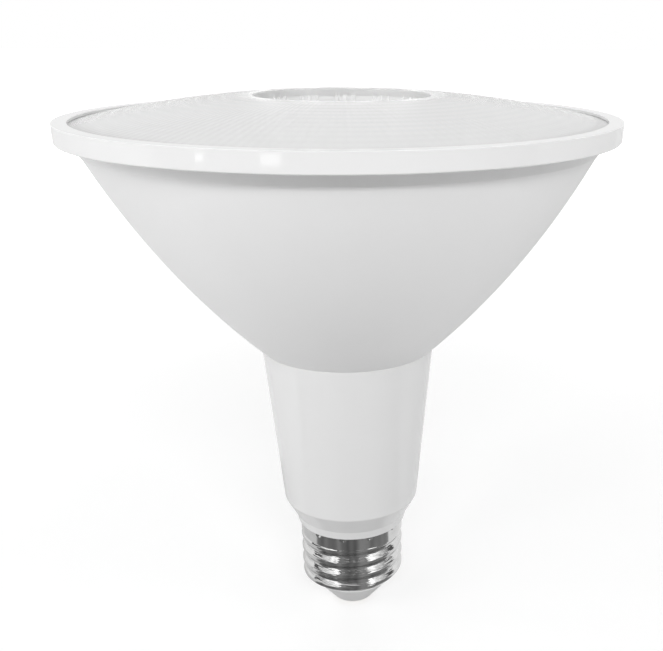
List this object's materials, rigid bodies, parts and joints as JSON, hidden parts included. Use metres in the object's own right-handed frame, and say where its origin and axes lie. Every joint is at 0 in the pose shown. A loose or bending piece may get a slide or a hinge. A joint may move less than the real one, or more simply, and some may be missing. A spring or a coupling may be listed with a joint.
{
  "type": "par spotlight bulb",
  "caption": "Reflector spotlight bulb with a patterned clear lens with a round well, a white bowl and tapered neck over a small power driver, and a screw cap for a lamp socket.",
  "frame": {"origin": "tip of the centre contact, on the bulb's axis", "axes": "+Z along the bulb's axis from the screw cap up to the lens, -Y towards the viewer of the picture"},
  "size_m": [0.121, 0.121, 0.13],
  "materials": {
    "lens_clear": "clear moulded plastic with a pattern of small lenslets",
    "white_gloss": "glossy white moulded plastic",
    "white_satin": "satin white paint on cast aluminium",
    "nickel": "bright nickel plate on a thin rolled shell",
    "insulator_grey": "smooth light grey insulator",
    "contact_metal": "bare tinned brass contact",
    "seal": "soft pale silicone",
    "reflector_white": "bright white reflector",
    "board_white": "white solder mask on an aluminium board",
    "emitter": "yellow phosphor in white packages",
    "screw_steel": "zinc-plated steel",
    "board_green": "green circuit board",
    "ferrite": "dark grey ferrite",
    "coil_tape": "yellow insulating tape",
    "chip_black": "black moulded package",
    "can_sleeve": "dark shrink sleeve on an aluminium can",
    "film_red": "red dipped film capacitor",
    "varistor_blue": "blue dipped disc",
    "resistor_green": "coated fusible resistor",
    "wire_red": "red wire insulation",
    "wire_white": "white wire insulation",
    "pin_tin": "tinned square pins",
    "socket_white": "white moulded socket"
  },
  "bodies": {
    "root": {"lens": "lens_clear", "bezel_ring": "white_gloss", "bowl_housing": "white_satin", "neck_housing": "white_gloss", "screw_shell": "nickel", "base_insulator": "insulator_grey", "centre_contact": "contact_metal", "lens_gasket": "seal", "reflector": "reflector_white", "led_board": "board_white", "led_packages": "emitter", "board_screws": "screw_steel", "neck_screws": "screw_steel", "driver_board": "board_green", "transformer_core": "ferrite", "transformer_coil": "coil_tape", "drum_choke": "ferrite", "input_capacitor": "can_sleeve", "output_capacitor": "can_sleeve", "film_capacitor": "film_red", "bridge_rectifier": "chip_black", "driver_chip": "chip_black", "output_diode": "chip_black", "chip_resistors": "chip_black", "varistor": "varistor_blue", "fuse_resistor": "resistor_green", "live_wire": "wire_red", "neutral_wire": "wire_white", "driver_pins": "pin_tin", "pin_socket": "socket_white"}
  },
  "joints": []
}
